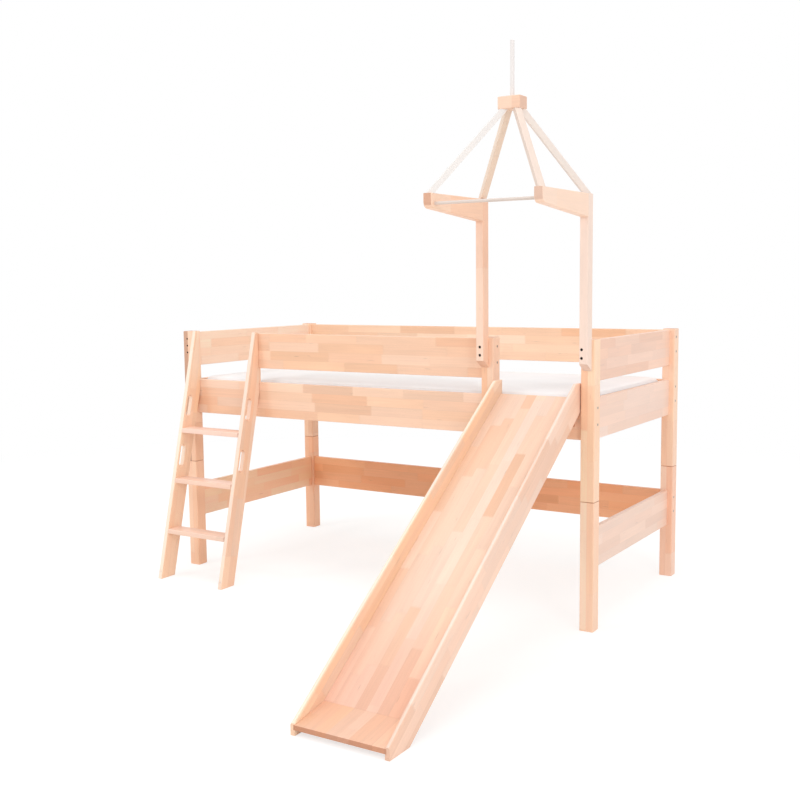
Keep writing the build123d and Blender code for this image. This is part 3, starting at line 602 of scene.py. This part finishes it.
def cover_material():
    """White woven cotton with soft mottling."""
    material, nodes, shader, _ = new_material("mattress_cover")
    place = nodes.add("ShaderNodeTexCoord").outputs["Object"]
    bands = {"Vector": place, "Scale": WEAVE_BANDS, "Distortion": 0.6, "Detail": 1.0}
    threads = [nodes.add("ShaderNodeTexWave", bands, wave_type="BANDS", bands_direction=axis).outputs["Fac"]
               for axis in "XYZ"]
    weave = nodes.math("MULTIPLY", nodes.math("MULTIPLY", threads[0], threads[1]), threads[2])
    mottle = nodes.fade(nodes.noise(place, MOTTLES_PER_METRE, Detail=3.0), *MOTTLE_LIMITS)
    tone = nodes.mix(mottle, *map(colour, COVER_TONES))
    threaded = nodes.mix(nodes.math("MULTIPLY", weave, THREAD_DEPTH), tone, colour(THREAD_TONE))
    roughness = nodes.math("MULTIPLY_ADD", weave, WEAVE_ROUGHNESS, COVER_ROUGHNESS)
    nodes.give(shader.inputs["Base Color"], threaded)
    nodes.give(shader.inputs["Roughness"], roughness)
    nodes.give(shader.inputs["Normal"], nodes.bump(weave, WEAVE_STRENGTH, WEAVE_BUMP))
    shader.inputs["Sheen Weight"].default_value = COVER_SHEEN
    return material


def rounded_outline(half_x, half_y):
    """Points around a rectangle with round corners, counter-clockwise."""
    points = []
    straight_x, straight_y = half_x - CORNER_RADIUS, half_y - CORNER_RADIUS
    corners = ((straight_x, straight_y), (-straight_x, straight_y),
               (-straight_x, -straight_y), (straight_x, -straight_y))
    for i, corner in enumerate(corners):
        for k in range(CORNER_STEPS + 1):
            turn = QUARTER * (i + k / CORNER_STEPS)
            points.append(Vector(corner) + CORNER_RADIUS * Vector((math.cos(turn), math.sin(turn))))
        start = QUARTER * (i + 1)
        following = Vector(corners[(i + 1) % len(corners)])
        target = following + CORNER_RADIUS * Vector((math.cos(start), math.sin(start)))
        last = points[-1]
        count = max(2, round((target - last).length / COVER_STEP))
        points += [last.lerp(target, k / count) for k in range(1, count)]
    return points


def mattress_profile(height):
    """Inset and height of each ring of the cover, from the bottom's middle to the top's."""
    rings = [(inset, 0.0) for inset in BOTTOM_INSETS]
    edge_top = height - CROWN
    turns = [QUARTER * k / EDGE_STEPS for k in range(EDGE_STEPS + 1)]
    rings += [(EDGE_ROUND * (1 - math.sin(turn)), EDGE_ROUND * (1 - math.cos(turn))) for turn in turns]
    for k in range(1, SIDE_STEPS):
        share = k / SIDE_STEPS
        tuck = SIDE_TUCK * math.sin(math.pi * share)
        rings.append((tuck, EDGE_ROUND + share * (edge_top - 2 * EDGE_ROUND)))
    rings += [(EDGE_ROUND * (1 - math.cos(turn)), edge_top - EDGE_ROUND * (1 - math.sin(turn)))
              for turn in turns]
    for inset in TOP_INSETS:
        share = (inset - EDGE_ROUND) / (TOP_INSETS[-1] - EDGE_ROUND)
        rings.append((inset, edge_top + CROWN * math.sin(QUARTER * share)))
    return rings


def join_rings(mesh, a, b):
    """Faces between two closed rings of as many points."""
    for i in range(len(a)):
        j = (i + 1) % len(a)
        mesh.faces.new((a[i], a[j], b[j], b[i]))


def finished(mesh, name):
    """Mesh data with its faces turned outward."""
    bmesh.ops.recalc_face_normals(mesh, faces=mesh.faces)
    data = bpy.data.meshes.new(name)
    mesh.to_mesh(data)
    mesh.free()
    return data


def cover_mesh(low, high, slack):
    """Closed cover between two corners, drawn in all round by the slack."""
    centre = (low + high) / 2
    half_x, half_y = (high.x - low.x) / 2 - slack, (high.y - low.y) / 2 - slack
    outline = rounded_outline(half_x, half_y)
    mesh = bmesh.new()
    rings = []
    for inset, height in mattress_profile(high.z - low.z - slack):
        scale_x, scale_y = (half_x - inset) / half_x, (half_y - inset) / half_y
        ring = [(centre.x + p.x * scale_x, centre.y + p.y * scale_y, low.z + height) for p in outline]
        rings.append([mesh.verts.new(place) for place in ring])
    for a, b in zip(rings, rings[1:]):
        join_rings(mesh, a, b)
    mesh.faces.new(list(reversed(rings[0])))
    mesh.faces.new(rings[-1])
    return finished(mesh, "mattress_cover")


def settled(cover):
    """The cover's mesh with its modifiers worked in, at the current frame."""
    graph = bpy.context.evaluated_depsgraph_get()
    data = bpy.data.meshes.new_from_object(cover.evaluated_get(graph))
    cover.modifiers.clear()
    return data


def swell_cover(cover, low, high):
    """Lets the cover swell a little under pressure, as cloth round foam."""
    scene = bpy.context.scene
    remesh = cover.modifiers.new("even", "REMESH")
    remesh.mode = "VOXEL"
    remesh.voxel_size = VOXEL
    cover.data = settled(cover)
    start = [vertex.co.copy() for vertex in cover.data.vertices]
    cloth = cover.modifiers.new("cloth", "CLOTH")
    cloth.settings.use_pressure = True
    cloth.settings.uniform_pressure_force = PRESSURE
    cloth.settings.effector_weights.gravity = 0.0
    cloth.point_cache.frame_end = CLOTH_FRAMES
    for frame_number in range(1, CLOTH_FRAMES + 1):
        scene.frame_set(frame_number)
    cover.data = settled(cover)
    scene.frame_set(1)
    for vertex, place in zip(cover.data.vertices, start):
        move = vertex.co - place
        if move.length > SWELL:
            move *= SWELL / move.length
        target = place + move
        vertex.co = [min(max(c, a), b) for c, a, b in zip(target, low, high)]
    smooth = cover.modifiers.new("smooth", "SMOOTH")
    smooth.iterations = SMOOTH_STEPS
    smooth.factor = SMOOTH_FACTOR
    finer = cover.modifiers.new("finer", "SUBSURF")
    finer.levels = finer.render_levels = 1
    cover.data = settled(cover)


def piping(name, low, high, height, tree):
    """Sewn welt round the mattress, laid on the cover."""
    centre = (low + high) / 2
    outline = rounded_outline((high.x - low.x) / 2, (high.y - low.y) / 2)
    path = [tree.find_nearest(Vector((centre.x + p.x, centre.y + p.y, height)))[0] for p in outline]
    mesh = bmesh.new()
    rings = []
    for i, place in enumerate(path):
        run = (path[(i + 1) % len(path)] - path[i - 1]).normalized()
        outward = run.cross(Z_AXIS).normalized()
        ring = []
        for k in range(PIPING_SIDES):
            turn = 2 * math.pi * k / PIPING_SIDES
            offset = math.cos(turn) * outward + math.sin(turn) * Z_AXIS
            ring.append(mesh.verts.new(place + PIPING_RADIUS * offset))
        rings.append(ring)
    for i, ring in enumerate(rings):
        join_rings(mesh, ring, rings[(i + 1) % len(rings)])
    return add_soft(name, finished(mesh, name))


def add_soft(name, data):
    """Smooth piece in the cover's fabric that rides on the mattress."""
    piece = bpy.data.objects.new(name, data)
    bpy.context.scene.collection.objects.link(piece)
    data.materials.clear()
    data.materials.append(COVER)
    for face in data.polygons:
        face.use_smooth = True
    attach(piece, "mattress")
    return piece


def make_mattress():
    """Crowned foam block in a sewn cover with piping round both edges."""
    low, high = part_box("mattress")
    slack = SWELL
    draft = bpy.data.objects.new("mattress_cover", cover_mesh(low, high, slack))
    bpy.context.scene.collection.objects.link(draft)
    swell_cover(draft, low, high)
    data = draft.data
    bpy.data.objects.remove(draft)
    cover = add_soft("mattress_cover", data)
    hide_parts("mattress")
    tree = BVHTree.FromPolygons([v.co for v in data.vertices], [face.vertices for face in data.polygons])
    piping("mattress_piping_top", low, high, high.z - CROWN - PIPING_TOP_SHARE * EDGE_ROUND, tree)
    piping("mattress_piping_low", low, high, low.z + PIPING_LOW_SHARE * EDGE_ROUND, tree)


COVER = cover_material()


# Surroundings

FLOOR_SIZE = 60
FLOOR_DROP = 0.5 * MM
FLOOR_BOUNCE = (0.93, 0.90, 0.86)
FLOOR_ROUGHNESS = 0.9
FLOOR_SHOWN = 0.40
FLOOR_GLOW = 0.69
FLOOR_NEAR = 2.6
FLOOR_FAR = 5.0

# Light, at a level where a pale colour renders about as it is written
WORLD_LEVEL = 0.68
WORLD_COLOUR = (1.0, 0.978, 0.945)
LIGHT_DISTANCE = 9.0
LIGHT_MIDDLE = Vector((0, 0.2, 0.8))

# Degrees to the right of straight ahead of the bed, degrees up, size and level
LIGHTS = {
    "key_right": (52, 24, 2.0, 0.14),
    "key_left": (-38, 30, 1.6, 0.14),
    "fill_right": (95, 10, 6.0, 0.07),
    "overhead": (10, 80, 5.0, 0.31),
}

# Camera, found from the straight edges in the photograph
CAMERA_PLACE = Vector((2.6133, -3.66725, 1.3653))
CAMERA_YAW = math.radians(32.329)
CAMERA_PITCH = math.radians(6.271)
CAMERA_ROLL = math.radians(-0.645)
CAMERA_REACH = 100
SENSOR_WIDTH = 36.0
FOCAL_PIXELS = 1088.1
PICTURE_PIXELS = 800


def seen_directly(nodes):
    """One for camera, glossy and transmission rays, and otherwise zero."""
    rays = nodes.add("ShaderNodeLightPath").outputs
    shown = nodes.math("MAXIMUM", rays["Is Camera Ray"], rays["Is Glossy Ray"])
    return nodes.math("MAXIMUM", shown, rays["Is Transmission Ray"])


def make_floor():
    """Pale floor that keeps the object's shadow and fades to white away from it."""
    bpy.ops.mesh.primitive_plane_add(size=FLOOR_SIZE, location=(0, 0, -FLOOR_DROP))
    floor = bpy.context.object
    floor.name = "floor"
    material, nodes, shader, surface = new_material("floor")
    shown = seen_directly(nodes)
    tone = nodes.mix(shown, colour(FLOOR_BOUNCE), colour([FLOOR_SHOWN] * 3))
    nodes.give(shader.inputs["Base Color"], tone)
    shader.inputs["Roughness"].default_value = FLOOR_ROUGHNESS
    shader.inputs["Specular IOR Level"].default_value = 0.0
    glow_level = nodes.math("MULTIPLY", shown, FLOOR_GLOW)
    glow = nodes.add("ShaderNodeEmission", {"Color": colour(WHITE), "Strength": glow_level})
    lit = nodes.add("ShaderNodeAddShader", {0: shader.outputs[0], 1: glow.outputs[0]})
    place = nodes.add("ShaderNodeTexCoord").outputs["Object"]
    away = nodes.fade(nodes.vector("LENGTH", place), FLOOR_NEAR, FLOOR_FAR)
    white = nodes.add("ShaderNodeEmission", {"Color": colour(WHITE), "Strength": 1.0})
    far = nodes.math("MULTIPLY", away, shown)
    both = nodes.add("ShaderNodeMixShader", {0: far, 1: lit.outputs[0], 2: white.outputs[0]})
    nodes.give(surface, both.outputs[0])
    floor.data.materials.append(material)


def make_world():
    """Even pale light, which looks white where it is seen."""
    world = bpy.data.worlds.new("studio")
    bpy.context.scene.world = world
    world.use_nodes = True
    world.node_tree.nodes.clear()
    nodes = Nodes(world.node_tree)
    shown = seen_directly(nodes)
    tone = nodes.mix(shown, colour(WORLD_COLOUR), colour(WHITE))
    level = nodes.math("MULTIPLY_ADD", shown, 1.0 - WORLD_LEVEL, WORLD_LEVEL)
    background = nodes.add("ShaderNodeBackground", {"Color": tone, "Strength": level})
    nodes.add("ShaderNodeOutputWorld", {"Surface": background.outputs[0]})


def make_lights():
    """Soft area lights, each as strong as its level on a white face turned to it."""
    for name, (azimuth, elevation, size, level) in LIGHTS.items():
        turn, rise = math.radians(azimuth), math.radians(elevation)
        away = Vector((math.sin(turn) * math.cos(rise), -math.cos(turn) * math.cos(rise), math.sin(rise)))
        data = bpy.data.lights.new(name, "AREA")
        data.shape = "SQUARE"
        data.size = size
        data.energy = level * (math.pi * LIGHT_DISTANCE) ** 2
        light = bpy.data.objects.new(name, data)
        light.location = LIGHT_MIDDLE + LIGHT_DISTANCE * away
        light.rotation_euler = (-away).to_track_quat("-Z", "Y").to_euler()
        bpy.context.scene.collection.objects.link(light)


def make_camera():
    """Camera at the photograph's place and angle."""
    yaw, pitch, roll = CAMERA_YAW, CAMERA_PITCH, CAMERA_ROLL
    forward = Vector((-math.sin(yaw) * math.cos(pitch), math.cos(yaw) * math.cos(pitch), -math.sin(pitch)))
    level = Vector((math.cos(yaw), math.sin(yaw), 0))
    upward = level.cross(forward)
    side = math.cos(roll) * level + math.sin(roll) * upward
    top = -math.sin(roll) * level + math.cos(roll) * upward
    data = bpy.data.cameras.new("camera")
    data.sensor_fit = "HORIZONTAL"
    data.sensor_width = SENSOR_WIDTH
    data.lens = SENSOR_WIDTH * FOCAL_PIXELS / PICTURE_PIXELS
    data.clip_end = CAMERA_REACH
    camera = bpy.data.objects.new("camera", data)
    turn = Matrix((side, top, -forward)).transposed().to_4x4()
    camera.matrix_world = Matrix.Translation(CAMERA_PLACE) @ turn
    bpy.context.scene.collection.objects.link(camera)
    bpy.context.scene.camera = camera


make_camera()
finish_frame()
finish_ladder()
finish_slide()
finish_roof()
finish_metal()
make_mattress()
make_floor()
make_world()
make_lights()
bpy.context.scene.view_settings.view_transform = "Standard"
